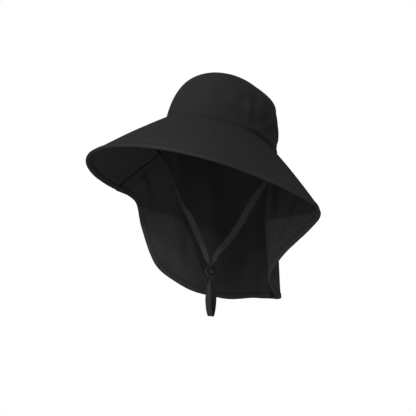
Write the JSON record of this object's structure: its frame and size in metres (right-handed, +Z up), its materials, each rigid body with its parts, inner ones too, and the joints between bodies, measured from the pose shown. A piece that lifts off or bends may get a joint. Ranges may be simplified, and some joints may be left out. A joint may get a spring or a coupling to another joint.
{
  "type": "neck flap sun hat",
  "caption": "Soft cloth sun hat with a domed crown, a wide sloping brim, a cape of cloth that hangs over the neck, and a flat chin strap with a round push-button stopper.",
  "frame": {"origin": "middle of the head opening, in the plane where the crown meets the brim", "axes": "+Z up with the hat worn upright, -Y the way that the front of the hat looks, +X to the wearer's left"},
  "size_m": [0.3425, 0.3503, 0.3562],
  "materials": {
    "crown_cloth": "matte charcoal cotton cloth",
    "brim_cloth": "matte charcoal cloth, quilted with rows of stitching along the edge",
    "cape_cloth": "matte charcoal cloth, thin and soft",
    "binding": "folded strip of the same cloth, stitched through",
    "strap_tape": "flat woven tape, dark grey",
    "stopper_plastic": "moulded dark grey plastic, satin",
    "button_plastic": "moulded dark grey plastic, satin"
  },
  "bodies": {
    "hat": {"crown_dome": "crown_cloth", "crown_band": "crown_cloth", "brim": "brim_cloth", "brim_binding": "binding", "neck_cape": "cape_cloth", "cape_binding": "binding", "chin_strap": "strap_tape", "stopper_body": "stopper_plastic"},
    "button": {"stopper_button": "button_plastic"}
  },
  "joints": [
    {"name": "button_press", "type": "slide", "parent": "hat", "child": "button", "axis": [-0.5446, 0.8387, 0], "range_m": [0, 0.003], "stiffness_N_per_m": 600, "springref_m": -0.002}
  ]
}
